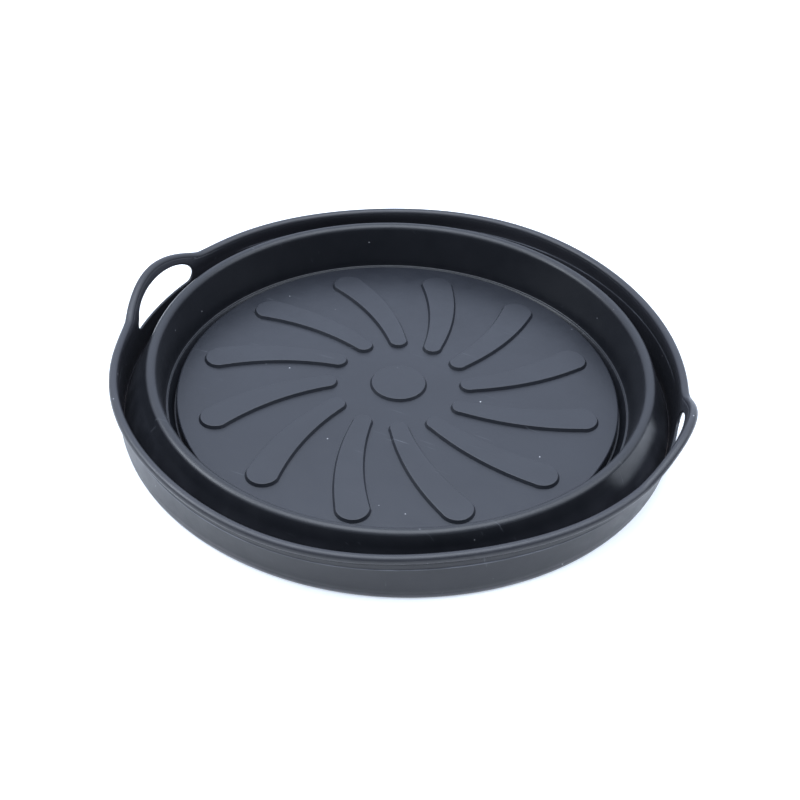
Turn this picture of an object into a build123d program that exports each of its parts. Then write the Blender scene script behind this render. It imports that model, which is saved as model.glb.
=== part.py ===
from build123d import *
import math
import os

# Collapsible round pet bathtub in soft silicone, modelled folded flat.
# Frame: +Z up, origin on the tub's axis at the plane it stands on, handles on the X axis.
# Going outwards, the wall rises from the floor to the crest fold, comes down again as the
# fold web, turns at the lower fold and rises as the outer wall, which ends in the rim lip.
# Lifting the rim turns the web over, so it rises instead, and the tub stands deep.

# Driving dimensions, millimetres
FOOT_RADIUS = 177.0         # inner wall's inner face, where it leaves the ledge
LEDGE_HEIGHT = 8.1
LEDGE_WIDTH = 1.8
WALL_THICKNESS = 3.0        # floor skirt, base ring, inner wall and crest
WEB_THICKNESS = 2.4         # fold web and outer wall, which flex most

FLOOR_RADIUS = 169.0
FLOOR_EDGE_HEIGHT = 12.0    # top face of the floor at its edge
FLOOR_RISE = 6.7            # the floor's middle stands this much above its edge
FLOOR_THICKNESS = 3.5
FLOOR_EDGE_ROUND = 1.2
SKIRT_BOTTOM = 6.0
GROOVE_FLOOR = 2.5          # top face of the groove round the floor
GROOVE_WIDTH = 1.8
FOOT_WIDTH = 6.6            # flat ring that the tub stands on

RIB_COUNT = 12
RIB_HEIGHT = 2.4            # above the domed floor
RIB_INNER_REACH = 54.2      # from the tub's axis to the middle of the rib's narrow end
RIB_OUTER_REACH = 141.4     # and to the middle of its wide end
RIB_INNER_ROUND = 6.8
RIB_OUTER_ROUND = 12.2
RIB_INNER_ANGLE = 25.2      # degrees, first rib
RIB_SWEEP = 16.5            # degrees from the narrow end round to the wide end
RIB_BOW = 5.5               # how far the rib's middle line stands off its chord
DISC_RADIUS = 20.6
DISC_HEIGHT = 2.1

CREST_RADIUS = 188.0        # middle of the upper fold
CREST_HEIGHT = 38.8
CREST_ROUND = 4.7

OUTER_FOOT_RADIUS = 211.2   # outer wall's outer face, at its foot
OUTER_FOOT_HEIGHT = 6.0
OUTER_TOP_RADIUS = 213.4    # outer wall's outer face, under the lip
OUTER_TOP_HEIGHT = 36.4
LOWER_FOLD_BOTTOM = 0.4
LOWER_FOLD_ROUND = 2.2
CREASE_HEIGHT = 3.0         # bottom of the trough between web and outer wall
RUNNING_GAP = 0.3           # between the web's lower end and the lower fold

LIP_RADIUS = 213.8
LIP_HEIGHT = 39.1
LIP_ROUND = 3.4

HANDLE_HALF_ANGLE = 19.0    # degrees of the rim that each handle takes, either side
HANDLE_BOTTOM = 18.0
HANDLE_TOP = 56.6
HANDLE_THICKNESS = 5.0
HANDLE_HALF_WIDTH = 54.0    # where the arch meets the rim
HANDLE_LEAN = 26.5          # degrees outwards from upright, above the rim
HANDLE_BLEND_REACH = 1.1    # times the half width: where the arch has come down to the rim
HANDLE_BLEND_RISE = 0.5      # and how much it still stands above the rim there
HANDLE_HAUNCH_REACH = 0.45   # times the half width: a point on the arch's shoulder
HANDLE_HAUNCH_DROP = 3.3     # and how far that point is below the arch's top
GRIP_HALF_WIDTH = 42.6      # opening for the fingers
GRIP_BOTTOM = 25.0
GRIP_SHOULDER = 31.6
GRIP_TOP = 47.2
GRIP_CORNER = 6.6

os.makedirs("parts", exist_ok=True)

skirt_radius = FLOOR_RADIUS - WALL_THICKNESS
dome_radius = (FLOOR_RADIUS**2 + FLOOR_RISE**2) / (2 * FLOOR_RISE)
outer_lean = (OUTER_TOP_RADIUS - OUTER_FOOT_RADIUS) / (OUTER_TOP_HEIGHT - OUTER_FOOT_HEIGHT)


def dome_height(radius):
    """Height of the floor's domed top face at a radius."""
    drop = dome_radius - math.sqrt(dome_radius**2 - radius**2)
    return FLOOR_EDGE_HEIGHT + FLOOR_RISE - drop


def outer_face_radius(height):
    """Radius of the outer wall's outer face at a height."""
    return OUTER_FOOT_RADIUS + outer_lean * (height - OUTER_FOOT_HEIGHT)


def polar(radius, angle):
    """Point at a radius and an angle in degrees."""
    turn = math.radians(angle)
    return (radius * math.cos(turn), radius * math.sin(turn))


def upright_plane(angle):
    """Plane through the tub's axis: local x is the radius at that angle, local y is height."""
    x, y = polar(1, angle)
    return Plane(origin=(0, 0, 0), x_dir=(x, y, 0), z_dir=(y, -x, 0))


def finish(builder, name):
    """Label a finished piece and write its STEP file."""
    builder.part.label = name
    export_step(builder.part, f"parts/{name}.step")


def dome_layer(bottom, top):
    """Section of the layer between two heights above the floor's domed face."""
    half_radius = FLOOR_RADIUS / 2
    with BuildSketch(Plane.XZ) as layer:
        with BuildLine():
            upper = ThreePointArc(
                (0, dome_height(0) + top),
                (half_radius, dome_height(half_radius) + top),
                (FLOOR_RADIUS, dome_height(FLOOR_RADIUS) + top),
            )
            lower = ThreePointArc(
                (0, dome_height(0) + bottom),
                (half_radius, dome_height(half_radius) + bottom),
                (FLOOR_RADIUS, dome_height(FLOOR_RADIUS) + bottom),
            )
            Line(upper @ 0, lower @ 0)
            Line(upper @ 1, lower @ 1)
        make_face()
    return layer.sketch


def ring_section(points, plane=Plane.XZ):
    """Straight-sided section of a ring, given as (radius, height) points."""
    with BuildSketch(plane) as section:
        with BuildLine():
            Polyline(*points, close=True)
        make_face()
    return section.sketch


# Floor: a domed plate with a short skirt round its edge
with BuildPart() as floor_panel:
    revolve(dome_layer(-FLOOR_THICKNESS, 0), axis=Axis.Z)
    with BuildSketch(Plane.XY.offset(SKIRT_BOTTOM)):
        Circle(FLOOR_RADIUS)
        Circle(skirt_radius, mode=Mode.SUBTRACT)
    extrude(amount=FLOOR_EDGE_HEIGHT - FLOOR_THICKNESS / 2 - SKIRT_BOTTOM)
    floor_side = floor_panel.faces().filter_by(GeomType.CYLINDER).sort_by(SortBy.AREA)[-1]
    floor_edge = floor_side.edges().filter_by(GeomType.CIRCLE).sort_by(Axis.Z)[-1]
    fillet(floor_edge, radius=FLOOR_EDGE_ROUND)
finish(floor_panel, "floor_panel")

# Base ring: the groove round the floor, flat underneath where the tub stands
with BuildPart() as base_ring:
    foot_outside = skirt_radius + FOOT_WIDTH
    ledge_outside = FOOT_RADIUS + WALL_THICKNESS
    base_section = ring_section(
        [
            (skirt_radius, 0),
            (skirt_radius, SKIRT_BOTTOM),
            (FLOOR_RADIUS, SKIRT_BOTTOM),
            (FLOOR_RADIUS, GROOVE_FLOOR),
            (FLOOR_RADIUS + GROOVE_WIDTH, GROOVE_FLOOR),
            (FOOT_RADIUS - LEDGE_WIDTH, LEDGE_HEIGHT),
            (ledge_outside, LEDGE_HEIGHT),
            (ledge_outside, LEDGE_HEIGHT - LEDGE_WIDTH / 2),
            (foot_outside, 0),
        ]
    )
    revolve(base_section, axis=Axis.Z)
finish(base_ring, "base_ring")

# Inner wall, leaning outwards from the ledge to the crest
with BuildPart() as inner_wall:
    crest_inside = CREST_RADIUS - CREST_ROUND
    inner_section = ring_section(
        [
            (FOOT_RADIUS, LEDGE_HEIGHT),
            (FOOT_RADIUS + WALL_THICKNESS, LEDGE_HEIGHT),
            (crest_inside + WALL_THICKNESS, CREST_HEIGHT),
            (crest_inside, CREST_HEIGHT),
        ]
    )
    revolve(inner_section, axis=Axis.Z)
finish(inner_wall, "inner_wall")

# Crest: the upper fold, an arch of the wall's own thickness
with BuildPart() as crest_fold:
    with BuildSketch(Plane.XZ):
        with Locations((CREST_RADIUS, CREST_HEIGHT)):
            Circle(CREST_ROUND)
            Circle(CREST_ROUND - WALL_THICKNESS, mode=Mode.SUBTRACT)
        with Locations((CREST_RADIUS, CREST_HEIGHT - CREST_ROUND)):
            Rectangle(2 * CREST_ROUND, 2 * CREST_ROUND, mode=Mode.SUBTRACT)
    revolve(axis=Axis.Z)
finish(crest_fold, "crest_fold")

# Fold web: the band that turns over when the rim is lifted
web_bottom = CREASE_HEIGHT + RUNNING_GAP
web_foot_radius = outer_face_radius(web_bottom) - WEB_THICKNESS - RUNNING_GAP
with BuildPart() as fold_web:
    crest_outside = CREST_RADIUS + CREST_ROUND
    web_section = ring_section(
        [
            (crest_outside - WEB_THICKNESS, CREST_HEIGHT),
            (crest_outside, CREST_HEIGHT),
            (web_foot_radius, web_bottom),
            (web_foot_radius - WEB_THICKNESS, web_bottom),
        ]
    )
    revolve(web_section, axis=Axis.Z)
finish(fold_web, "fold_web")

# Lower fold: turns the web into the outer wall, rounded where it meets the ground
with BuildPart() as lower_fold:
    fold_section = ring_section(
        [
            (web_foot_radius - WEB_THICKNESS, LOWER_FOLD_BOTTOM),
            (web_foot_radius - WEB_THICKNESS, CREASE_HEIGHT),
            (outer_face_radius(CREASE_HEIGHT) - WEB_THICKNESS, CREASE_HEIGHT),
            (OUTER_FOOT_RADIUS - WEB_THICKNESS, OUTER_FOOT_HEIGHT),
            (OUTER_FOOT_RADIUS, OUTER_FOOT_HEIGHT),
            (outer_face_radius(LOWER_FOLD_BOTTOM), LOWER_FOLD_BOTTOM),
        ]
    )
    revolve(fold_section, axis=Axis.Z)
    ground_edges = lower_fold.edges().group_by(Axis.Z)[0]
    fillet(ground_edges.sort_by(SortBy.RADIUS)[-1], radius=LOWER_FOLD_ROUND)
finish(lower_fold, "lower_fold")

# Outer wall, with a bay left for each handle
with BuildPart() as outer_wall:
    wall_section = ring_section(
        [
            (OUTER_FOOT_RADIUS - WEB_THICKNESS, OUTER_FOOT_HEIGHT),
            (OUTER_FOOT_RADIUS, OUTER_FOOT_HEIGHT),
            (OUTER_TOP_RADIUS, OUTER_TOP_HEIGHT),
            (OUTER_TOP_RADIUS - WEB_THICKNESS, OUTER_TOP_HEIGHT),
        ]
    )
    revolve(wall_section, axis=Axis.Z)
    bay_reach = 2 * LIP_RADIUS
    with BuildSketch(Plane.XY.offset(HANDLE_BOTTOM)):
        for side in (0, 180):
            with BuildLine():
                Polyline(
                    (0, 0),
                    polar(bay_reach, side - HANDLE_HALF_ANGLE),
                    polar(bay_reach, side + HANDLE_HALF_ANGLE),
                    close=True,
                )
            make_face()
    extrude(amount=OUTER_TOP_HEIGHT, mode=Mode.SUBTRACT)
finish(outer_wall, "outer_wall")


def make_lip(start_angle):
    """Rim lip between the handles: a round bead, flat where it sits on the outer wall."""
    with BuildPart() as lip:
        with BuildSketch(upright_plane(start_angle)):
            with Locations((LIP_RADIUS, LIP_HEIGHT)):
                Circle(LIP_ROUND)
            with Locations((LIP_RADIUS, OUTER_TOP_HEIGHT - LIP_ROUND)):
                Rectangle(2 * LIP_ROUND, 2 * LIP_ROUND, mode=Mode.SUBTRACT)
        revolve(axis=Axis.Z, revolution_arc=180 - 2 * HANDLE_HALF_ANGLE)
    return lip


rim_lip_back = make_lip(HANDLE_HALF_ANGLE)
finish(rim_lip_back, "rim_lip_back")
rim_lip_front = make_lip(180 + HANDLE_HALF_ANGLE)
finish(rim_lip_front, "rim_lip_front")


def handle_section():
    """Section points of a handle: it continues the outer wall, then leans out above it."""
    lean = math.radians(HANDLE_LEAN)
    rise = HANDLE_TOP + HANDLE_THICKNESS - OUTER_TOP_HEIGHT
    top_radius = OUTER_TOP_RADIUS + rise * math.tan(lean)
    across = HANDLE_THICKNESS / math.cos(lean)
    bottom_radius = outer_face_radius(HANDLE_BOTTOM)
    return [
        (bottom_radius - WEB_THICKNESS, HANDLE_BOTTOM),
        (bottom_radius, HANDLE_BOTTOM),
        (OUTER_TOP_RADIUS + WEB_THICKNESS / 2, OUTER_TOP_HEIGHT),
        (top_radius + WEB_THICKNESS / 2, OUTER_TOP_HEIGHT + rise),
        (top_radius + WEB_THICKNESS / 2 - across, OUTER_TOP_HEIGHT + rise),
        (OUTER_TOP_RADIUS + WEB_THICKNESS / 2 - across, OUTER_TOP_HEIGHT),
    ]


def make_handle(side):
    """Loop handle: a stretch of wall drawn up into an arch, with an opening for the fingers."""
    with BuildPart() as handle:
        blank = ring_section(handle_section(), upright_plane(side - HANDLE_HALF_ANGLE))
        revolve(blank, axis=Axis.Z, revolution_arc=2 * HANDLE_HALF_ANGLE)

        x, y = polar(1, side)
        facing = Plane(origin=(x, y, 0), x_dir=(-y, x, 0), z_dir=(x, y, 0))
        rim_top = LIP_HEIGHT + LIP_ROUND
        blank_reach = 1.5 * HANDLE_HALF_WIDTH
        blend_reach = HANDLE_BLEND_REACH * HANDLE_HALF_WIDTH
        haunch_reach = HANDLE_HAUNCH_REACH * HANDLE_HALF_WIDTH
        with BuildSketch(facing):
            with BuildLine():
                arch = Spline(
                    (-blank_reach, rim_top),
                    (-blend_reach, rim_top + HANDLE_BLEND_RISE),
                    (-haunch_reach, HANDLE_TOP - HANDLE_HAUNCH_DROP),
                    (0, HANDLE_TOP),
                    (haunch_reach, HANDLE_TOP - HANDLE_HAUNCH_DROP),
                    (blend_reach, rim_top + HANDLE_BLEND_RISE),
                    (blank_reach, rim_top),
                )
                Polyline(arch @ 0, (-blank_reach, 0), (blank_reach, 0), arch @ 1)
            make_face()
            with BuildLine():
                left = GRIP_HALF_WIDTH - GRIP_CORNER
                Line((-left, GRIP_BOTTOM), (left, GRIP_BOTTOM))
                CenterArc((left, GRIP_SHOULDER), GRIP_CORNER, -90, 90)
                EllipticalCenterArc(
                    (0, GRIP_SHOULDER),
                    GRIP_HALF_WIDTH,
                    GRIP_TOP - GRIP_SHOULDER,
                    start_angle=0,
                    arc_size=180,
                )
                CenterArc((-left, GRIP_SHOULDER), GRIP_CORNER, 180, 90)
            make_face(mode=Mode.SUBTRACT)
        extrude(amount=2 * LIP_RADIUS, mode=Mode.INTERSECT)
    return handle


handle_right = make_handle(0)
finish(handle_right, "handle_right")
handle_left = make_handle(180)
finish(handle_left, "handle_left")


def make_rib(index):
    """Raised rib on the floor, narrow towards the middle, bowed and swept round as it goes out."""
    turn = RIB_INNER_ANGLE + index * 360 / RIB_COUNT
    inner = Vector(*polar(RIB_INNER_REACH, turn))
    outer = Vector(*polar(RIB_OUTER_REACH, turn + RIB_SWEEP))
    along = (outer - inner).normalized()
    across = Vector(along.Y, -along.X)
    middle = (inner + outer) / 2 + across * RIB_BOW
    half_width = (RIB_INNER_ROUND + RIB_OUTER_ROUND) / 2
    with BuildPart() as rib:
        with BuildSketch():
            with BuildLine():
                near_side = ThreePointArc(
                    inner + across * RIB_INNER_ROUND,
                    middle + across * half_width,
                    outer + across * RIB_OUTER_ROUND,
                )
                far_side = ThreePointArc(
                    inner - across * RIB_INNER_ROUND,
                    middle - across * half_width,
                    outer - across * RIB_OUTER_ROUND,
                )
                ThreePointArc(near_side @ 0, inner - along * RIB_INNER_ROUND, far_side @ 0)
                ThreePointArc(near_side @ 1, outer + along * RIB_OUTER_ROUND, far_side @ 1)
            make_face()
        extrude(amount=2 * dome_height(0))
        revolve(dome_layer(0, RIB_HEIGHT), axis=Axis.Z, mode=Mode.INTERSECT)
    return rib


for rib_index in range(RIB_COUNT):
    finish(make_rib(rib_index), f"floor_rib_{rib_index + 1:02d}")

# Raised disc in the middle of the floor
with BuildPart() as centre_disc:
    with BuildSketch():
        Circle(DISC_RADIUS)
    extrude(amount=2 * dome_height(0))
    revolve(dome_layer(0, DISC_HEIGHT), axis=Axis.Z, mode=Mode.INTERSECT)
finish(centre_disc, "centre_disc")
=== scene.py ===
import math

import bmesh
import bpy
import numpy as np
from mathutils import Matrix, Vector


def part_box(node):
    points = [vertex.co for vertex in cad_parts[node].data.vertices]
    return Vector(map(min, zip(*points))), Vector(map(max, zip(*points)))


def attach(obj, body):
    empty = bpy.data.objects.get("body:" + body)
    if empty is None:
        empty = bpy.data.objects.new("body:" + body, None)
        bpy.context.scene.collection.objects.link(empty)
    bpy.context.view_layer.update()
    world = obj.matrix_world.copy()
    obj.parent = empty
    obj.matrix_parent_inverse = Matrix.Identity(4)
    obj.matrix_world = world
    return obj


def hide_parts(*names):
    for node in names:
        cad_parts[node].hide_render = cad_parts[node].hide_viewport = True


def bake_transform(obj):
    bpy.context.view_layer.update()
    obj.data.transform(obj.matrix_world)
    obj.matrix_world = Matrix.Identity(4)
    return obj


# Collapsible silicone pet bathtub, folded flat. Lengths are millimetres until a mesh is made.
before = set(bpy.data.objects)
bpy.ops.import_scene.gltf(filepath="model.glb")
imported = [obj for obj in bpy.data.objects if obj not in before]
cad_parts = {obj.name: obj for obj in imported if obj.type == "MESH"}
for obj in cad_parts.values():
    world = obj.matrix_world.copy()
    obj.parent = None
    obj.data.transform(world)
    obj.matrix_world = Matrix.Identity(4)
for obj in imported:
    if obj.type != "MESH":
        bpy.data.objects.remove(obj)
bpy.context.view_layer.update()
MM = 0.001


def top(node):
    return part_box(node)[1].z / MM


def low(node):
    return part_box(node)[0].z / MM


def reach(node):
    """Outermost radius of a node that goes right round the tub."""
    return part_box(node)[1].y / MM


# Thicknesses and small widths of the moulding
WALL = 3.0
WEB = 2.4
FOOT_WIDTH = 6.6
LEDGE_WIDTH = 1.8
GROOVE_WIDTH = 1.8
GROOVE_FLOOR = 2.5
FLOOR_RISE = 6.7
FLOOR_THICKNESS = 3.5
LIP_ROUND = 3.4

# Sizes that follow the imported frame
FLOOR_RADIUS = reach("floor_panel")
FLOOR_TOP = top("floor_panel")
SKIRT_BOTTOM = low("floor_panel")
LEDGE_HEIGHT = top("base_ring")
FOOT_RADIUS = reach("base_ring") - WALL
CREST_HEIGHT = low("crest_fold")
CREST_ROUND = top("crest_fold") - CREST_HEIGHT
CREST_RADIUS = reach("crest_fold") - CREST_ROUND
WEB_BOTTOM = low("fold_web")
FOLD_BOTTOM = low("lower_fold")
FOLD_TOP = top("lower_fold")
FOLD_RADIUS = reach("lower_fold")
WALL_TOP = top("outer_wall")
WALL_TOP_RADIUS = reach("outer_wall")
LIP_HEIGHT = top("rim_lip_back") - LIP_ROUND
LIP_RADIUS = reach("rim_lip_back") - LIP_ROUND

COLUMNS = 360               # steps round the tub
COLUMN_STEP = 2 * math.pi / COLUMNS
EAR_COLUMNS = 20            # half width of the wall patch that each ear is built in


# ---------------------------------------------------------------- soft shape
# How the soft rim and crest wander off a true circle: (size in mm, waves round the tub, direction in degrees)
RIM_WANDER = [(1.3, 1, 14), (1.1, 2, 63), (1.0, 3, -7), (1.4, 4, -8), (0.8, 5, -2), (0.8, 6, -25)]
CREST_WANDER = [(0.7, 1, -10), (0.3, 2, 89), (0.6, 3, 19), (0.6, 4, -6)]
WANDER_FROM, WANDER_FULL = 4, 40        # heights over which the wander grows


def smoothstep(x, a, b):
    t = np.clip((np.asarray(x, float) - a) / (b - a), 0, 1)
    return t * t * (3 - 2 * t)


def wander(turn, terms):
    total = np.zeros_like(turn)
    for size, waves, direction in terms:
        total += size * np.cos(waves * (turn - math.radians(direction)))
    return total


def soften(points):
    """Moves points a little off the true circles, as soft silicone stands."""
    p = np.array(points, float)
    radius = np.hypot(p[:, 0], p[:, 1])
    turn = np.arctan2(p[:, 1], p[:, 0])
    height = smoothstep(p[:, 2], WANDER_FROM, WANDER_FULL)
    outer = smoothstep(radius, CREST_RADIUS + CREST_ROUND, FOLD_RADIUS - 3 * WEB)
    push = height * ((1 - outer) * wander(turn, CREST_WANDER) + outer * wander(turn, RIM_WANDER))
    push *= smoothstep(radius, FLOOR_RADIUS + GROOVE_WIDTH, FOOT_RADIUS + WALL)
    scale = 1 + push / np.maximum(radius, 1)
    p[:, 0] *= scale
    p[:, 1] *= scale
    return p


# ---------------------------------------------------------------- mesh tools
MERGE_METRES, SLIVER_METRES = 1e-6, 1e-7
ON_AXIS = 1e-6              # a ring of a smaller radius is one point
ROUND_STEPS = 6
SUPPORT, SUPPORT_SHARE = 0.35, 0.2      # rows beside a round, at most this share of the straight away


def make_piece(name, points, faces, body, slot, nodes=(), soft=True, look=None):
    """A smooth closed piece that rides on a body and stands for CAD nodes."""
    p = soften(points) if soft else np.array(points, float)
    mesh = bpy.data.meshes.new(name)
    mesh.from_pydata((p * MM).tolist(), [], faces)
    work = bmesh.new()
    work.from_mesh(mesh)
    bmesh.ops.remove_doubles(work, verts=work.verts, dist=MERGE_METRES)
    bmesh.ops.dissolve_degenerate(work, edges=work.edges, dist=SLIVER_METRES)
    bmesh.ops.recalc_face_normals(work, faces=work.faces)
    work.to_mesh(mesh)
    work.free()
    mesh.polygons.foreach_set("use_smooth", [True] * len(mesh.polygons))
    piece = bpy.data.objects.new(name, mesh)
    bpy.context.scene.collection.objects.link(piece)
    mesh.materials.append(MATERIALS[look or slot])
    if nodes:
        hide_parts(*nodes)
    if body:
        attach(piece, body)
    return piece


def rounded(corners):
    """Open outline from (radius, height, round) corners, each one between the ends turned by a small arc."""
    out = []
    for i, (x, y, size) in enumerate(corners):
        here = np.array([x, y], float)
        if i in (0, len(corners) - 1) or size <= 0:
            out.append(tuple(here))
            continue
        before = np.array(corners[i - 1][:2], float)
        after = np.array(corners[i + 1][:2], float)
        u = (before - here) / np.linalg.norm(before - here)
        v = (after - here) / np.linalg.norm(after - here)
        half = math.acos(np.clip(u @ v, -1, 1)) / 2
        run = size / math.tan(half)
        centre = here + (u + v) / np.linalg.norm(u + v) * size / math.sin(half)
        start, end = here + u * run, here + v * run
        out.append(tuple(start + u * min(SUPPORT, SUPPORT_SHARE * np.linalg.norm(before - start))))
        a0 = math.atan2(*(start - centre)[::-1])
        a1 = math.atan2(*(end - centre)[::-1])
        sweep = (a1 - a0 + math.pi) % (2 * math.pi) - math.pi
        for k in range(ROUND_STEPS + 1):
            a = a0 + sweep * k / ROUND_STEPS
            out.append((centre[0] + size * math.cos(a), centre[1] + size * math.sin(a)))
        out.append(tuple(end + v * min(SUPPORT, SUPPORT_SHARE * np.linalg.norm(after - end))))
    return out


def arc(x, y, size, start, end, steps):
    """Points of an arc, degrees."""
    turns = np.radians(np.linspace(start, end, steps + 1))
    return [(x + size * math.cos(a), y + size * math.sin(a)) for a in turns]


def line(a, b, steps):
    """Points from a towards b, b left out."""
    return [tuple(np.array(a) + (np.array(b) - np.array(a)) * k / steps) for k in range(steps)]


def lathe(section):
    """Points and faces of a closed section turned round the tub's axis."""
    points, index = [], []
    for radius, height in section:
        if radius < ON_AXIS:
            index.append([len(points)] * COLUMNS)
            points.append((0, 0, height))
            continue
        index.append(list(range(len(points), len(points) + COLUMNS)))
        for j in range(COLUMNS):
            a = j * COLUMN_STEP
            points.append((radius * math.cos(a), radius * math.sin(a), height))
    faces = []
    for i in range(len(section)):
        lower, upper = index[i], index[(i + 1) % len(section)]
        for j in range(COLUMNS):
            k = (j + 1) % COLUMNS
            face = list(dict.fromkeys([lower[j], lower[k], upper[k], upper[j]]))
            if len(face) > 2:
                faces.append(face)
    return points, faces


# ---------------------------------------------------------------- material
SILICONE_IOR = 1.43
ROUGHNESS_SPREAD = 0.035
# texture scales are per metre, and bump depths are metres
MOTTLE_SCALE, CLOUD_SCALE, GRAIN_SCALE = 22, 90, 1500
CLOUD_DEPTH, GRAIN_DEPTH, SPECK_DEPTH = 0.00022, 0.000035, 0.00025
BUMP_STRENGTH = 0.5
RUB_SCALES, RUB_ANGLES, RUB_PATCH_SCALE = (14, 520, 60), (24, 118), 31
RUB_COLOUR, RUB_SHARE, RUB_ROUGHNESS = (0.20, 0.21, 0.23), 0.25, 0.10
SPECK_SCALE, SPECK_CORE, SPECK_EDGE = 62, 0.022, 0.045
SPECK_COLOUR = (0.42, 0.42, 0.43)
BAND_SCALE = 40
BAND_RADIUS_EASE, BAND_SIDE_EASE = 1, 8


# Three of the pale bands paint light onto the silicone: a painted highlight at the step, a painted reflection
# at the foot and painted bounce light in the trough. The crease band is a mark.
def silicone(name, base, light, dust, roughness, bands):
    """Matt dark silicone: slow mottling, fine grain, faint rubs, specks of dust, and pale bands round it.

    A band lies about a level, fades out over its soft edge, and starts at its least radius. It keeps clear of
    the ears' line by its clearance, and its share says how strongly its colour shows. Lengths are in mm.
    """
    material = bpy.data.materials.new(name)
    material.use_nodes = True
    tree = material.node_tree
    shader = tree.nodes["Principled BSDF"]
    shader.inputs["IOR"].default_value = SILICONE_IOR

    def add(kind, **settings):
        node = tree.nodes.new(kind)
        for key, value in settings.items():
            setattr(node, key, value)
        return node

    def link(a, b):
        tree.links.new(a, b)

    def noise(vector, scale, detail, rough=0.5):
        node = add("ShaderNodeTexNoise")
        node.inputs["Scale"].default_value = scale
        node.inputs["Detail"].default_value = detail
        node.inputs["Roughness"].default_value = rough
        link(vector, node.inputs["Vector"])
        return node.outputs["Fac"]

    def remap(value, *limits):
        """Maps a value from the first two limits to the last two."""
        node = add("ShaderNodeMapRange")
        for key, limit in zip(("From Min", "From Max", "To Min", "To Max"), limits):
            node.inputs[key].default_value = limit
        link(value, node.inputs["Value"])
        return node.outputs["Result"]

    def maths(operation, *values):
        node = add("ShaderNodeMath", operation=operation)
        for value, socket in zip(values, node.inputs):
            link(value, socket)
        return node.outputs[0]

    def mix(share, a, b):
        node = add("ShaderNodeMix", data_type="RGBA")
        link(share, node.inputs["Factor"])
        for socket, value in ((node.inputs["A"], a), (node.inputs["B"], b)):
            if isinstance(value, tuple):
                socket.default_value = (*value, 1)
            else:
                link(value, socket)
        return node.outputs["Result"]

    where = add("ShaderNodeTexCoord").outputs["Object"]
    mottle = noise(where, MOTTLE_SCALE, 4)
    colour = mix(remap(mottle, 0.35, 0.65, 0, 1), base, light)

    # faint rubs: noise drawn out along two directions, in patches
    streaks = []
    for angle in RUB_ANGLES:
        mapping = add("ShaderNodeMapping")
        mapping.inputs["Rotation"].default_value = (0, 0, math.radians(angle))
        mapping.inputs["Scale"].default_value = RUB_SCALES
        link(where, mapping.inputs["Vector"])
        streaks.append(remap(noise(mapping.outputs["Vector"], 1, 2), 0.70, 0.78, 0, 1))
    patch = remap(noise(where, RUB_PATCH_SCALE, 2), 0.52, 0.62, 0, 1)
    rubs = maths("MULTIPLY", maths("MAXIMUM", *streaks), patch)
    colour = mix(remap(rubs, 0, 1, 0, RUB_SHARE), colour, RUB_COLOUR)

    # dust: small pale specks, only in some cells
    cells = add("ShaderNodeTexVoronoi")
    cells.inputs["Scale"].default_value = SPECK_SCALE
    cells.inputs["Randomness"].default_value = 1
    link(where, cells.inputs["Vector"])
    chosen = add("ShaderNodeSeparateColor")
    link(cells.outputs["Color"], chosen.inputs["Color"])
    specks = remap(cells.outputs["Distance"], SPECK_CORE, SPECK_EDGE, 1, 0)
    specks = maths("MULTIPLY", specks, remap(chosen.outputs["Red"], 0.45, 0.9, 0, dust))
    colour = mix(specks, colour, SPECK_COLOUR)

    if bands:
        split = add("ShaderNodeSeparateXYZ")
        link(where, split.inputs["Vector"])
        height, sideways = split.outputs["Z"], maths("ABSOLUTE", split.outputs["Y"])
        flat = add("ShaderNodeVectorMath", operation="MULTIPLY")
        flat.inputs[1].default_value = (1, 1, 0)
        link(where, flat.inputs[0])
        length = add("ShaderNodeVectorMath", operation="LENGTH")
        link(flat.outputs["Vector"], length.inputs[0])
        radius = length.outputs["Value"]
        broken = remap(noise(where, BAND_SCALE, 2), 0.42, 0.6, 0.5, 1)
    for band in bands:
        under, over = (band["level"] - band["half_width"]) * MM, (band["level"] + band["half_width"]) * MM
        soft, least, clear = band["soft"] * MM, band["least_radius"], band["clearance"]
        amount = remap(height, under - soft, under, 0, band["share"])
        for factor in (
            remap(height, over, over + soft, 1, 0),
            broken,
            remap(radius, least * MM, (least + BAND_RADIUS_EASE) * MM, 0, 1),
            remap(sideways, (clear - BAND_SIDE_EASE) * MM, (clear + BAND_SIDE_EASE) * MM, 0, 1),
        ):
            amount = maths("MULTIPLY", amount, factor)
        colour = mix(amount, colour, band["colour"])
    link(colour, shader.inputs["Base Color"])

    grain = noise(where, GRAIN_SCALE, 3, 0.6)
    cloud = noise(where, CLOUD_SCALE, 3)
    matt = remap(cloud, 0.3, 0.7, roughness - ROUGHNESS_SPREAD, roughness + ROUGHNESS_SPREAD)
    link(maths("ADD", matt, remap(rubs, 0, 1, 0, RUB_ROUGHNESS)), shader.inputs["Roughness"])

    normal = None
    for relief, depth in ((cloud, CLOUD_DEPTH), (grain, GRAIN_DEPTH), (specks, SPECK_DEPTH)):
        bump = add("ShaderNodeBump")
        bump.inputs["Strength"].default_value = BUMP_STRENGTH
        bump.inputs["Distance"].default_value = depth
        link(relief, bump.inputs["Height"])
        if normal is not None:
            link(normal, bump.inputs["Normal"])
        normal = bump.outputs["Normal"]
    link(normal, shader.inputs["Normal"])
    return material


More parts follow.
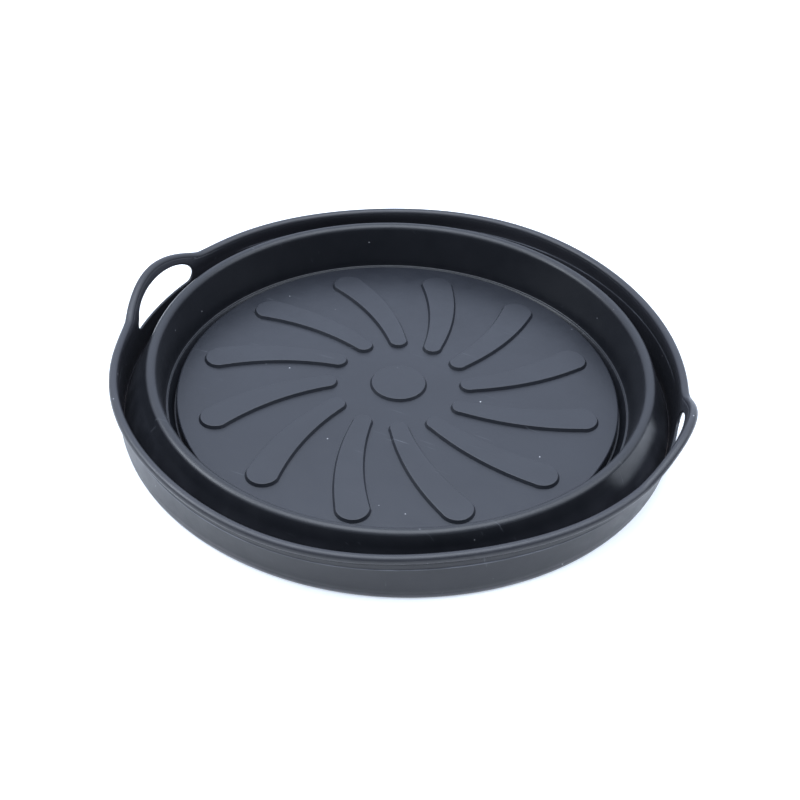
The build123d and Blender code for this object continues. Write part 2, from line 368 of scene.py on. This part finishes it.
STEP_HEIGHT = 28.7          # outside, the wall is a little thicker below this line
ALL_ROUND = -20             # a clearance that leaves nothing out
CREASE = {
    "level": WEB_BOTTOM + 0.9, "half_width": 0.15, "soft": 0.35,
    "least_radius": 195, "clearance": ALL_ROUND, "share": 0.9, "colour": (0.20, 0.16, 0.13),
}
# painted light: a paler tone low in the trough, strongest below 12 mm and gone by 34 mm, stands in for light
# bounced into it
TROUGH_PAINTED_LIGHT = {
    "level": 4, "half_width": 8, "soft": 22,
    "least_radius": 194, "clearance": ALL_ROUND, "share": 1.0, "colour": (0.0320, 0.0328, 0.0385),
}
# painted highlight: a pale line on the outer wall along the step's edge, where the edge catches light; it
# keeps clear of the ears
STEP_PAINTED_HIGHLIGHT = {
    "level": STEP_HEIGHT - 0.1, "half_width": 0.25, "soft": 0.4,
    "least_radius": 206, "clearance": 95, "share": 0.9, "colour": (0.11, 0.115, 0.13),
}
# painted reflection: the outer wall pales towards its foot, up to about 6.5 mm, where its rounded edge
# mirrors the bright table
FOOT_PAINTED_REFLECTION = {
    "level": 0, "half_width": 2, "soft": 4.5,
    "least_radius": 208.6, "clearance": ALL_ROUND, "share": 1.0, "colour": (0.13, 0.127, 0.137),
}
# name: (darker tone, lighter tone, dust, roughness, bands)
LOOKS = {
    "floor_silicone": ((0.0066, 0.0076, 0.0106), (0.0082, 0.0094, 0.0128), 0.8, 0.40, ()),
    "rib_silicone": ((0.0080, 0.0091, 0.0122), (0.0098, 0.0111, 0.0146), 0.9, 0.40, ()),
    "wall_silicone": ((0.0046, 0.0052, 0.0070), (0.0058, 0.0064, 0.0084), 0.6, 0.38, (TROUGH_PAINTED_LIGHT, CREASE)),
    "rim_silicone": ((0.0128, 0.0132, 0.0160), (0.0148, 0.0152, 0.0185), 0.8, 0.40, (STEP_PAINTED_HIGHLIGHT, FOOT_PAINTED_REFLECTION)),
}
MATERIALS = {name: silicone(name, *look) for name, look in LOOKS.items()}

# ---------------------------------------------------------------- floor
FLOOR_EDGE_ROUND = 1.3
FLOOR_RINGS, UNDERSIDE_RINGS = 34, 24
EDGE_IN, EDGE_DOWN = 0.6, 0.5           # rows beside the edge round
SKIRT_OVERLAP = 0.6                     # how far the skirt reaches into the basin's foot
dome_radius = (FLOOR_RADIUS**2 + FLOOR_RISE**2) / (2 * FLOOR_RISE)


def dome(radius):
    """Height of the floor's top face."""
    return FLOOR_TOP - dome_radius + math.sqrt(dome_radius**2 - radius**2)


floor_edge = FLOOR_RADIUS - FLOOR_EDGE_ROUND
edge_centre = dome(floor_edge) - FLOOR_EDGE_ROUND
skirt = FLOOR_RADIUS - WALL
skirt_end = GROOVE_FLOOR - SKIRT_OVERLAP
section = [(r, dome(r)) for r in np.linspace(0, floor_edge - EDGE_IN, FLOOR_RINGS)]
section += arc(floor_edge, edge_centre, FLOOR_EDGE_ROUND, 88, 0, steps=7)
section += [(FLOOR_RADIUS, edge_centre - EDGE_DOWN), (FLOOR_RADIUS, SKIRT_BOTTOM), (FLOOR_RADIUS, skirt_end)]
section += [(skirt, skirt_end), (skirt, SKIRT_BOTTOM), (skirt, dome(skirt) - FLOOR_THICKNESS - EDGE_DOWN)]
section += [(r, dome(r) - FLOOR_THICKNESS) for r in np.linspace(skirt - 1, 0, UNDERSIDE_RINGS)]
make_piece("floor_skin", *lathe(section), "basin", "floor_silicone", ["floor_panel"])

# ---------------------------------------------------------------- basin: foot, inner wall and crest
FOOT_OVERLAP = 0.4                      # how far the foot reaches into the floor's skirt
INNER_FILLET = 0.8
CREST_TAIL = ((0.6, 0.10), (2, 0.7))    # (down the web, inwards): the crest's skin dips under the web's
UNDER_CREST = (0.1, 2)                  # (outwards, down) from the crest's inner face to the wall's outer one
foot_outside = skirt + FOOT_WIDTH
foot_seat = SKIRT_BOTTOM - 1
ledge_outside = FOOT_RADIUS + WALL
crest_inside = CREST_RADIUS - CREST_ROUND
web_foot = reach("fold_web")
fold_inside = web_foot - WEB
web_lean = math.degrees(math.atan2(web_foot - CREST_RADIUS - CREST_ROUND, CREST_HEIGHT - WEB_BOTTOM))
wall_lean = math.degrees(math.atan2(crest_inside - FOOT_RADIUS, CREST_HEIGHT - LEDGE_HEIGHT))
lean = math.radians(web_lean)
web_out = np.array([math.cos(lean), math.sin(lean)])
web_down = np.array([math.sin(lean), -math.cos(lean)])
crest_end = np.array([CREST_RADIUS, CREST_HEIGHT]) + CREST_ROUND * web_out
inner_head = (
    CREST_RADIUS - CREST_ROUND * math.cos(math.radians(wall_lean)),
    CREST_HEIGHT + CREST_ROUND * math.sin(math.radians(wall_lean)),
)
section = rounded([
    (skirt, 0, 0.6),
    (skirt, foot_seat, 0),
    (FLOOR_RADIUS - FOOT_OVERLAP, foot_seat, 0),
    (FLOOR_RADIUS - FOOT_OVERLAP, GROOVE_FLOOR, 0),
    (FLOOR_RADIUS + GROOVE_WIDTH, GROOVE_FLOOR, 0.8),
    (FOOT_RADIUS - LEDGE_WIDTH, LEDGE_HEIGHT, 0.5),
    (FOOT_RADIUS, LEDGE_HEIGHT, 0.6),
])[:-1]
section += arc(
    FOOT_RADIUS - INNER_FILLET, LEDGE_HEIGHT + INNER_FILLET, INNER_FILLET, -90, -wall_lean, steps=4
)
section += line(section[-1], inner_head, steps=12)[1:]
section += arc(CREST_RADIUS, CREST_HEIGHT, CREST_ROUND, 180 - wall_lean, web_lean, steps=24)
section += [tuple(crest_end + down * web_down - inwards * web_out) for down, inwards in CREST_TAIL]
section += arc(CREST_RADIUS, CREST_HEIGHT, CREST_ROUND - WALL, web_lean, 180 - wall_lean, steps=12)
under_crest = (crest_inside + WALL + UNDER_CREST[0], CREST_HEIGHT - UNDER_CREST[1])
section += line(under_crest, (ledge_outside, LEDGE_HEIGHT), steps=8)
section += rounded([
    (ledge_outside + 0.2, LEDGE_HEIGHT + 1, 0),
    (ledge_outside, LEDGE_HEIGHT - LEDGE_WIDTH / 2, 2),
    (foot_outside, 0, 1.2),
    (skirt, 0, 0),
])[:-1]
make_piece(
    "basin_skin", *lathe(section), "basin", "wall_silicone", ["base_ring", "inner_wall", "crest_fold"]
)

# ---------------------------------------------------------------- ribs and disc
RIB_COUNT = 12
RIB_HEIGHT = 2.4
RIB_ROUND = 0.4
RIB_SINK = 0.5
RIB_SPREAD = 1.2            # how far a rib's side leans out at its foot
SINK_SPREAD = 0.15          # and how much further below the floor
RIB_BOW = 5.5
RIB_STATIONS = 30
INNER_HALF, OUTER_HALF = 6.8, 12.2
INNER_REACH, OUTER_REACH = 54.2, 141.4
INNER_ANGLE, RIB_SWEEP = 25.2, 16.5
INNER_STEPS, OUTER_STEPS = 12, 14       # of a rib's round ends
EDGE_STEPS = 5
TOP_SHARES = (0.35, 0.7, 1.0)           # rows of the top, from its edge to the rib's spine
DISC_HEIGHT = 2.1
DISC_RINGS = 10


def edge_rings(height, size):
    """(inset, height) of the rings that make a raised pad's side, edge and top."""
    rings = [(-RIB_SPREAD - SINK_SPREAD, -RIB_SINK), (-RIB_SPREAD, 0.0)]
    rings += [(-0.08, height - size - 0.25), (0, height - size)]
    for k in range(1, EDGE_STEPS + 1):
        a = math.radians(90 * k / EDGE_STEPS)
        rings.append((size * (1 - math.cos(a)), height - size + size * math.sin(a)))
    rings.append((rings[-1][0] + SUPPORT, height))
    return rings


def rib(index):
    """Raised rib: a tapered, bowed pad that follows the domed floor."""
    turn = math.radians(INNER_ANGLE + 360 / RIB_COUNT * index)
    far = turn + math.radians(RIB_SWEEP)
    inner = INNER_REACH * np.array([math.cos(turn), math.sin(turn)])
    outer = OUTER_REACH * np.array([math.cos(far), math.sin(far)])
    span = np.linalg.norm(outer - inner)
    along = (outer - inner) / span
    across = np.array([along[1], -along[0]])

    def spine(s):
        return inner + along * span * s + across * RIB_BOW * 4 * s * (1 - s)

    def half_width(s):
        return INNER_HALF + (OUTER_HALF - INNER_HALF) * s

    outline = []                # (place along the spine, point, way out)
    for k in range(RIB_STATIONS + 1):
        s = k / RIB_STATIONS
        outline.append((s, spine(s) + across * half_width(s), across))
    for k in range(1, OUTER_STEPS):
        a = math.pi * k / OUTER_STEPS
        out = across * math.cos(a) + along * math.sin(a)
        outline.append((1, outer + out * OUTER_HALF, out))
    for k in range(RIB_STATIONS + 1):
        s = 1 - k / RIB_STATIONS
        outline.append((s, spine(s) - across * half_width(s), -across))
    for k in range(1, INNER_STEPS):
        a = math.pi * k / INNER_STEPS
        out = -across * math.cos(a) - along * math.sin(a)
        outline.append((0, inner + out * INNER_HALF, out))

    rings = edge_rings(RIB_HEIGHT, RIB_ROUND)
    points, faces = [], []
    for inset, height in rings:
        for s, point, out in outline:
            x, y = point - out * inset
            points.append((x, y, dome(math.hypot(x, y)) + height))
    for share in TOP_SHARES:
        for s, point, out in outline:
            start = point - out * rings[-1][0]
            x, y = start + (spine(s) - start) * share
            points.append((x, y, dome(math.hypot(x, y)) + RIB_HEIGHT))
    count = len(outline)
    for i in range(len(rings) + len(TOP_SHARES) - 1):
        for j in range(count):
            k = (j + 1) % count
            faces.append((i * count + j, i * count + k, (i + 1) * count + k, (i + 1) * count + j))
    faces.append(tuple(range(count)))
    return points, faces


for number in range(RIB_COUNT):
    node = f"floor_rib_{number + 1:02d}"
    pad = f"rib_pad_{number + 1:02d}"
    make_piece(pad, *rib(number), "basin", "floor_silicone", [node], soft=False, look="rib_silicone")

disc_radius = reach("centre_disc")
disc_edge = edge_rings(DISC_HEIGHT, RIB_ROUND)
section = [(disc_radius - inset, dome(disc_radius) + height) for inset, height in disc_edge]
section += [(r, dome(r) + DISC_HEIGHT) for r in np.linspace(section[-1][0] - 1, 0, DISC_RINGS)]
section += [(0, dome(0) - RIB_SINK)]
make_piece(
    "disc_pad", *lathe(section), "basin", "floor_silicone", ["centre_disc"], soft=False, look="rib_silicone"
)

# ---------------------------------------------------------------- fold web
WEB_INSET, WEB_OVERLAP = 0.03, 0.5      # the web's skin starts just inside the crest's, above its end
WEB_END_OUT, WEB_END_DROP = 0.5, 1.3    # and ends inside the fold below
web_head = tuple(crest_end - WEB_INSET * web_out - WEB_OVERLAP * web_down)
web_end = (web_foot + WEB_END_OUT, WEB_BOTTOM - WEB_END_DROP)
outside = line(web_head, web_end, steps=44) + [web_end]
inside = [tuple(np.array(p) - WEB * web_out) for p in reversed(outside)]
web = make_piece("web_skin", *lathe(outside + inside), None, "wall_silicone", ["fold_web"])
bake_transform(web)

# ---------------------------------------------------------------- rim wall with its two ears
PATCH_FOOT = 18.0           # the ears' patches start at this height
STEP_DEPTH = 0.5
STEP_EASE = 0.55            # the step eases out upwards over about this height
HOLLOW_START, HOLLOW_END = 32.0, 34.6
HOLLOW_DEPTH = 0.7
FADE_COLUMNS = 8            # the step and the hollow die out over these, beside an ear's patch
LIP_BLEND_FROM, LIP_BLEND_TO = 10, 1.5  # below the lip, where the inner face comes in to meet the bead
WALL_OVERLAP = 0.4          # the wall's top row lies this far inside the bead
EAR_BEND = 36.4             # the ears lean out above this height
EAR_BEND_SOFT = 2.5
EAR_RISE = 16.1             # how far the lip climbs over an ear, measured along the ear
EAR_RISE_SOFT = 2.0
EAR_HALF = 54.0
EAR_TURN = {"handle_right": 1.0, "handle_left": 180.0}
EAR_LEAN = {"handle_right": 20.5, "handle_left": 22.0}
EAR_TWIST = {"handle_right": 0.28, "handle_left": 0.0}  # leans out more at one end than at the other
EAR_SKEW = {"handle_right": 0.1, "handle_left": 0.0}    # stands fuller at one end
FADE = (0.7, 1.5)           # where the lean dies out, in halves of an ear
EAR_FADE = {"handle_right": (0.9, 1.2), "handle_left": FADE}    # the same at the end with the larger angle
HOLE_HALF = 42.6
HOLE_BOTTOM = 25.0
HOLE_SHOULDER = 31.6
HOLE_CORNER = 6.6
HOLE_TOP = 48.6
HOLE_EDGE = 1.2
HOLE_SIDE_ARC = 32          # degrees of the opening's arch that belong to each side
HOLE_MARGIN = 0.5
HOLE_RINGS = 5
PLATE_RINGS = 9
PLATE_EASE = 0.9
wall_slope = (WALL_TOP_RADIUS - FOLD_RADIUS) / (WALL_TOP - FOLD_TOP)


def outer_face(height):
    """Radius of the wall's outer face, without its step and hollow."""
    return FOLD_RADIUS + wall_slope * (height - FOLD_TOP)


lip_fill = outer_face(LIP_HEIGHT) - WEB - (LIP_RADIUS - LIP_ROUND)


def ear_offset(turn):
    """Which ear is nearest, and how far round the rim from its middle, in mm."""
    best = None
    for name, middle in EAR_TURN.items():
        away = (turn - math.radians(middle) + math.pi) % (2 * math.pi) - math.pi
        if best is None or abs(away) < abs(best[1]):
            best = (name, away)
    return best[0], best[1] * LIP_RADIUS


def climb(turn):
    """How far the lip stands above the plain rim."""
    name, away = ear_offset(turn)
    u = max(-2.0, min(away / EAR_HALF, 2.0))
    u -= EAR_SKEW[name] * max(1 - u * u, 0)
    arch = EAR_RISE * math.cos(math.pi / 2 * u)
    return (arch + math.hypot(arch, EAR_RISE_SOFT)) / 2


def ear_lean(turn):
    """How far the rim leans out, in radians."""
    name, away = ear_offset(turn)
    u = away / EAR_HALF
    fade = EAR_FADE[name] if u > 0 else FADE
    twist = 1 + EAR_TWIST[name] * max(-1.0, min(u, 1.0))
    return math.radians(EAR_LEAN[name]) * twist * (1 - float(smoothstep(abs(u), *fade)))


def place(turn, radius, height):
    """Point of the rim: heights above the bend line turn outwards with the ear."""
    over = height - EAR_BEND
    soft = math.hypot(over, EAR_BEND_SOFT)
    above, growth = (over + soft) / 2, (1 + over / soft) / 2
    tilt = ear_lean(turn)
    here = math.atan2(growth * math.sin(tilt), 1 - growth * (1 - math.cos(tilt)))
    offset = radius - LIP_RADIUS
    radius = LIP_RADIUS + above * math.sin(tilt) + offset * math.cos(here)
    height -= above * (1 - math.cos(tilt)) + offset * math.sin(here)
    return (radius * math.cos(turn), radius * math.sin(turn), height)


def step_depth(turn, height):
    """Step and hollow below the lip on the outside, dying out towards the ears."""
    away = abs(ear_offset(turn)[1])
    patch_half = LIP_RADIUS * COLUMN_STEP * EAR_COLUMNS
    fade = float(smoothstep(away, patch_half, LIP_RADIUS * COLUMN_STEP * (EAR_COLUMNS + FADE_COLUMNS)))
    step = STEP_DEPTH * (1 - math.exp(-max(height - STEP_HEIGHT, 0) / STEP_EASE))
    return fade * (step + HOLLOW_DEPTH * float(smoothstep(height, HOLLOW_START, HOLLOW_END)))


def wall_radius(turn, height, outer):
    """Radius of one face of the wall. The inner face comes in below the lip, then ends inside the bead."""
    if outer:
        return outer_face(height) - step_depth(turn, height)
    if height < LIP_HEIGHT:
        fill = lip_fill * float(smoothstep(height, LIP_HEIGHT - LIP_BLEND_FROM, LIP_HEIGHT - LIP_BLEND_TO))
    else:
        fill = -WALL_OVERLAP
    return outer_face(height) - WEB - fill


def upright(turn, height):
    """Height along the wall, stretched so that its top row follows the lip."""
    share = (height - PATCH_FOOT) / (LIP_HEIGHT - PATCH_FOOT)
    return height + climb(turn) * share


def plain_height(turn, height):
    """The plain wall's height that upright() stretches to this height."""
    full = LIP_HEIGHT + climb(turn) - PATCH_FOOT
    return PATCH_FOOT + (height - PATCH_FOOT) * (LIP_HEIGHT - PATCH_FOOT) / full


# rows of both faces from the patches' foot to the lip, close together at the step
shared = [PATCH_FOOT, 22, 25, 27.2]
shared += [STEP_HEIGHT + k for k in (-0.5, -0.12, 0, 0.06, 0.13, 0.22, 0.35, 0.55, 0.85, 1.3, 2.0)]
shared += [31.6, 32.4, 33.0, 33.6, 34.2, 34.8, 35.4, 36.2, 37.5, 38.5, 38.8, 38.95, LIP_HEIGHT]

# the fold at the wall's foot, in section
FOLD_EDGE, FOLD_EDGE_RISE = 2.6, 6.0    # easing of its outer edge, inwards and up
FOLD_FILLET, TROUGH_FILLET = 0.8, 0.9
fold_face = outer_face(FOLD_BOTTOM)
trough = WEB_BOTTOM + 0.1
below_outside = [(fold_inside, FOLD_BOTTOM + 1.2)]
below_outside += arc(fold_inside + FOLD_FILLET, FOLD_BOTTOM + FOLD_FILLET, FOLD_FILLET, 180, 270, steps=4)
below_outside += [(fold_face - FOLD_EDGE - 0.4, FOLD_BOTTOM)]
below_outside += [
    (fold_face - FOLD_EDGE * (1 - math.sin(t)), FOLD_BOTTOM + FOLD_EDGE_RISE * (1 - math.cos(t)))
    for t in np.radians(np.linspace(0, 90, 13))
]
below_outside += [(outer_face(h), h) for h in (7.5, 10, 12.5, 15)]
below_inside = [(outer_face(h) - WEB, h) for h in (15, 12, 9, 6.5, 4.9)]
below_inside += arc(
    outer_face(trough) - WEB - TROUGH_FILLET, trough + TROUGH_FILLET, TROUGH_FILLET, 0, -90, steps=4
)
below_inside += [(fold_inside, trough)]

columns = [j * COLUMN_STEP for j in range(COLUMNS)]
points, faces = [], []
grid = []                   # grid[row][column]


def add_row(row):
    """One more row of the wall's section, a point for each column."""
    grid.append([len(points) + j for j in range(COLUMNS)])
    points.extend(row)


def circle(radius, height):
    return [(radius * math.cos(a), radius * math.sin(a), height) for a in columns]


for radius, height in below_outside:
    add_row(circle(radius, height))
for outer, heights in ((True, shared), (False, shared[::-1])):
    for h in heights:
        add_row([place(a, wall_radius(a, h, outer), upright(a, h)) for a in columns])
for radius, height in below_inside:
    add_row(circle(radius, height))

rows = len(shared)
outer_foot, inner_foot = len(below_outside), len(below_outside) + 2 * rows - 1
patched_rows = set(range(outer_foot, outer_foot + rows - 1)) | set(range(outer_foot + rows, inner_foot))
ear_centres = {name: round(math.radians(middle) / COLUMN_STEP) for name, middle in EAR_TURN.items()}
patched_columns = {
    j % COLUMNS for centre in ear_centres.values() for j in range(centre - EAR_COLUMNS, centre + EAR_COLUMNS)
}
for i in range(len(grid)):
    n = (i + 1) % len(grid)
    for j in range(COLUMNS):
        if i in patched_rows and j in patched_columns:
            continue
        k = (j + 1) % COLUMNS
        faces.append((grid[i][j], grid[i][k], grid[n][k], grid[n][j]))


def walk(path, count):
    """Evenly spaced points along a polyline, its last point left out."""
    path = np.array(path, float)
    lengths = np.concatenate([[0], np.cumsum(np.linalg.norm(np.diff(path, axis=0), axis=1))])
    at = np.linspace(0, lengths[-1], count + 1)[:-1]
    return np.stack([np.interp(at, lengths, path[:, 0]), np.interp(at, lengths, path[:, 1])], 1)


def hole_outline(n_flat, n_side):
    """The opening's outline in (along the rim, height), anticlockwise from its lower left corner."""
    flat = HOLE_HALF - HOLE_CORNER
    rise = HOLE_TOP - HOLE_SHOULDER
    corner = arc(flat, HOLE_SHOULDER, HOLE_CORNER, -90, 0, steps=12)
    arch = [
        (HOLE_HALF * math.cos(math.radians(a)), HOLE_SHOULDER + rise * math.sin(math.radians(a)))
        for a in np.linspace(0, 180, 181)
    ]
    right = corner + arch[1 : HOLE_SIDE_ARC + 1]
    over = arch[HOLE_SIDE_ARC : 181 - HOLE_SIDE_ARC]
    left = [(-x, y) for x, y in reversed(right)]
    base = [(-flat, HOLE_BOTTOM), (flat, HOLE_BOTTOM)]
    return np.concatenate([walk(base, n_flat), walk(right, n_side), walk(over, n_flat), walk(left, n_side)])


hole = hole_outline(2 * EAR_COLUMNS, rows - 1)
ahead, behind = np.roll(hole, -1, axis=0), np.roll(hole, 1, axis=0)
tangent = (ahead - behind) / np.linalg.norm(ahead - behind, axis=1)[:, None]
outwards = np.stack([tangent[:, 1], -tangent[:, 0]], 1)


def ear_layers(border):
    """Rings of (along the rim, height) points from a patch's border to its opening, each with its inset."""
    near = hole + outwards * (HOLE_EDGE + HOLE_MARGIN)
    layers = []
    for k in range(1, PLATE_RINGS + 1):
        share = (k / PLATE_RINGS) ** PLATE_EASE
        layers.append((border + (near - border) * share, HOLE_EDGE + HOLE_MARGIN))
    for k in range(HOLE_RINGS + 1):
        inset = HOLE_EDGE * (1 - math.sin(math.radians(90 * k / HOLE_RINGS)))
        layers.append((hole + outwards * inset, inset))
    return layers


for name, middle in EAR_TURN.items():
    span = [(ear_centres[name] + j) % COLUMNS for j in range(-EAR_COLUMNS, EAR_COLUMNS + 1)]
    rim_of_hole = None
    for outer in (True, False):
        base_row = outer_foot if outer else inner_foot
        rise = 1 if outer else -1
        top_row = base_row + rise * (rows - 1)
        border = [(base_row, c) for c in span[:-1]]
        border += [(base_row + rise * k, span[-1]) for k in range(rows - 1)]
        border += [(top_row, c) for c in span[:0:-1]]
        border += [(top_row - rise * k, span[0]) for k in range(rows - 1)]
        level = {base_row + rise * k: shared[k] for k in range(rows)}
        flat_border = [(ear_offset(columns[c])[1], upright(columns[c], level[r])) for r, c in border]
        layers = ear_layers(np.array(flat_border))
        rings = [[grid[r][c] for r, c in border]]
        for number, (flat_points, inset) in enumerate(layers):
            if number == len(layers) - 1 and rim_of_hole is not None:
                rings.append(rim_of_hole)
                continue
            depth = min(inset, HOLE_EDGE)
            thick = math.sqrt(max(HOLE_EDGE**2 - (HOLE_EDGE - depth) ** 2, 0)) / HOLE_EDGE
            rings.append(list(range(len(points), len(points) + len(flat_points))))
            for x, h in flat_points:
                turn = math.radians(middle) + x / LIP_RADIUS
                plain = plain_height(turn, h)
                face = wall_radius(turn, plain, True)
                mid = (face + wall_radius(turn, plain, False)) / 2
                radius = mid + (face - mid) * thick * (1 if outer else -1)
                points.append(place(turn, radius, h))
        rim_of_hole = rings[-1]
        for a, b in zip(rings, rings[1:]):
            for j in range(len(a)):
                k = (j + 1) % len(a)
                faces.append((a[j], a[k], b[k], b[j]))

make_piece(
    "rim_wall", points, faces, "rim", "rim_silicone",
    ["lower_fold", "outer_wall", "handle_left", "handle_right"],
)

# ---------------------------------------------------------------- lip bead, over both ears
BEAD_COLUMNS = 2 * COLUMNS
BEAD_SIDES = 24
bead_turns = [2 * math.pi * j / BEAD_COLUMNS for j in range(BEAD_COLUMNS)]
path = np.array([place(a, LIP_RADIUS, LIP_HEIGHT + climb(a)) for a in bead_turns])
points, faces = [], []
for j, a in enumerate(bead_turns):
    n = (j + 1) % BEAD_COLUMNS
    forward = path[n] - path[j - 1]
    forward /= np.linalg.norm(forward)
    side = np.array([math.cos(a), math.sin(a), 0])
    side -= forward * (side @ forward)
    side /= np.linalg.norm(side)
    up = np.cross(side, forward)
    for k in range(BEAD_SIDES):
        b = 2 * math.pi * k / BEAD_SIDES
        points.append(path[j] + LIP_ROUND * (side * math.cos(b) + up * math.sin(b)))
        m = (k + 1) % BEAD_SIDES
        faces.append((j * BEAD_SIDES + k, n * BEAD_SIDES + k, n * BEAD_SIDES + m, j * BEAD_SIDES + m))
make_piece("rim_bead", points, faces, "rim", "rim_silicone", ["rim_lip_front", "rim_lip_back"])

# ---------------------------------------------------------------- studio: backdrop, table, light
CAMERA_AZIMUTH = math.radians(23)
STUDIO_TINT = (0.78, 0.88, 1.10)
STUDIO_DIM, STUDIO_BRIGHT = 0.34, 2.2
STUDIO_BACK, STUDIO_UP = 0.45, 0.893    # the studio is brightest up and behind the tub
TABLE_HALF = 10.0
TABLE_ROUGHNESS = 0.8
TABLE_TONE = (0.55, 0.58)
TABLE_GLOW, TABLE_GLOW_TINT = 0.55, (0.82, 0.90, 1.0)
TABLE_FIBRE_SCALE = 30
LIGHT_TINT = (0.84, 0.91, 1.0)
OVERHEAD_AT, OVERHEAD_SIZE, OVERHEAD_POWER = (0.05, -0.1, 1.5), (1.7, 1.4), 35
SIDE_REACH, SIDE_HEIGHT, SIDE_SIZE = 1.1, 0.9, (0.7, 0.7)
LEFT_POWER, RIGHT_POWER = 14, 5

world = bpy.data.worlds.new("studio")
bpy.context.scene.world = world
world.use_nodes = True
background = world.node_tree.nodes["Background"]
background.inputs["Color"].default_value = (*STUDIO_TINT, 1)
direction = world.node_tree.nodes.new("ShaderNodeTexCoord")
facing = world.node_tree.nodes.new("ShaderNodeVectorMath")
facing.operation = "DOT_PRODUCT"
facing.inputs[1].default_value = (
    -STUDIO_BACK * math.sin(CAMERA_AZIMUTH), STUDIO_BACK * math.cos(CAMERA_AZIMUTH), STUDIO_UP
)
glow = world.node_tree.nodes.new("ShaderNodeMapRange")
glow.interpolation_type = "SMOOTHSTEP"
glow.inputs["From Min"].default_value = 0.0
glow.inputs["From Max"].default_value = 1.0
glow.inputs["To Min"].default_value = STUDIO_DIM
glow.inputs["To Max"].default_value = STUDIO_BRIGHT
world.node_tree.links.new(direction.outputs["Generated"], facing.inputs[0])
world.node_tree.links.new(facing.outputs["Value"], glow.inputs["Value"])
world.node_tree.links.new(glow.outputs["Result"], background.inputs["Strength"])

table_mesh = bpy.data.meshes.new("table")
table_corners = [(x * TABLE_HALF, y * TABLE_HALF, 0) for x, y in ((-1, -1), (1, -1), (1, 1), (-1, 1))]
table_mesh.from_pydata(table_corners, [], [(0, 1, 2, 3)])
table = bpy.data.objects.new("table", table_mesh)
bpy.context.scene.collection.objects.link(table)
paper = bpy.data.materials.new("pale_table")
paper.use_nodes = True
sheet = paper.node_tree.nodes["Principled BSDF"]
sheet.inputs["Roughness"].default_value = TABLE_ROUGHNESS
sheet.inputs["Emission Color"].default_value = (*TABLE_GLOW_TINT, 1)
sheet.inputs["Emission Strength"].default_value = TABLE_GLOW
fibre = paper.node_tree.nodes.new("ShaderNodeTexNoise")
fibre.inputs["Scale"].default_value = TABLE_FIBRE_SCALE
tone = paper.node_tree.nodes.new("ShaderNodeMapRange")
tone.inputs["To Min"].default_value, tone.inputs["To Max"].default_value = TABLE_TONE
paper.node_tree.links.new(fibre.outputs["Fac"], tone.inputs["Value"])
paper.node_tree.links.new(tone.outputs["Result"], sheet.inputs["Base Color"])
table_mesh.materials.append(paper)


def softbox(name, place_at, size, power):
    """Rectangular light that faces the middle of the scene."""
    light = bpy.data.lights.new(name, "AREA")
    light.shape = "RECTANGLE"
    light.size, light.size_y = size
    light.energy = power
    light.color = LIGHT_TINT
    lamp = bpy.data.objects.new(name, light)
    lamp.location = place_at
    lamp.rotation_mode = "QUATERNION"
    lamp.rotation_quaternion = (-Vector(place_at)).to_track_quat("-Z", "Y")
    bpy.context.scene.collection.objects.link(lamp)


softbox("overhead", OVERHEAD_AT, OVERHEAD_SIZE, OVERHEAD_POWER)
for name, out, power in (("left_side", -SIDE_REACH, LEFT_POWER), ("right_side", SIDE_REACH, RIGHT_POWER)):
    beside = (out * math.cos(CAMERA_AZIMUTH), out * math.sin(CAMERA_AZIMUTH), SIDE_HEIGHT)
    softbox(name, beside, SIDE_SIZE, power)

# ---------------------------------------------------------------- camera
CAMERA_ELEVATION = 0.67583  # radians
CAMERA_ROLL = -0.04931
CAMERA_DISTANCE = 1.25745   # metres
AIM_RIGHT, AIM_UP = 0.00188, 0.00241
SENSOR_WIDTH, LENS = 36, 73.33
forward = Vector((
    -math.sin(CAMERA_AZIMUTH) * math.cos(CAMERA_ELEVATION),
    math.cos(CAMERA_AZIMUTH) * math.cos(CAMERA_ELEVATION),
    -math.sin(CAMERA_ELEVATION),
))
flat_right = Vector((math.cos(CAMERA_AZIMUTH), math.sin(CAMERA_AZIMUTH), 0))
flat_up = flat_right.cross(forward)
right = math.cos(CAMERA_ROLL) * flat_right - math.sin(CAMERA_ROLL) * flat_up
up = math.sin(CAMERA_ROLL) * flat_right + math.cos(CAMERA_ROLL) * flat_up
camera_data = bpy.data.cameras.new("camera")
camera_data.sensor_width = SENSOR_WIDTH
camera_data.lens = LENS
camera_data.clip_start, camera_data.clip_end = 0.01, 20
camera = bpy.data.objects.new("camera", camera_data)
camera.matrix_world = Matrix((
    (right.x, up.x, -forward.x, 0),
    (right.y, up.y, -forward.y, 0),
    (right.z, up.z, -forward.z, 0),
    (0, 0, 0, 1),
))
camera.location = right * AIM_RIGHT + up * AIM_UP - forward * CAMERA_DISTANCE
bpy.context.scene.collection.objects.link(camera)
bpy.context.scene.camera = camera
bpy.context.scene.view_settings.view_transform = "Standard"
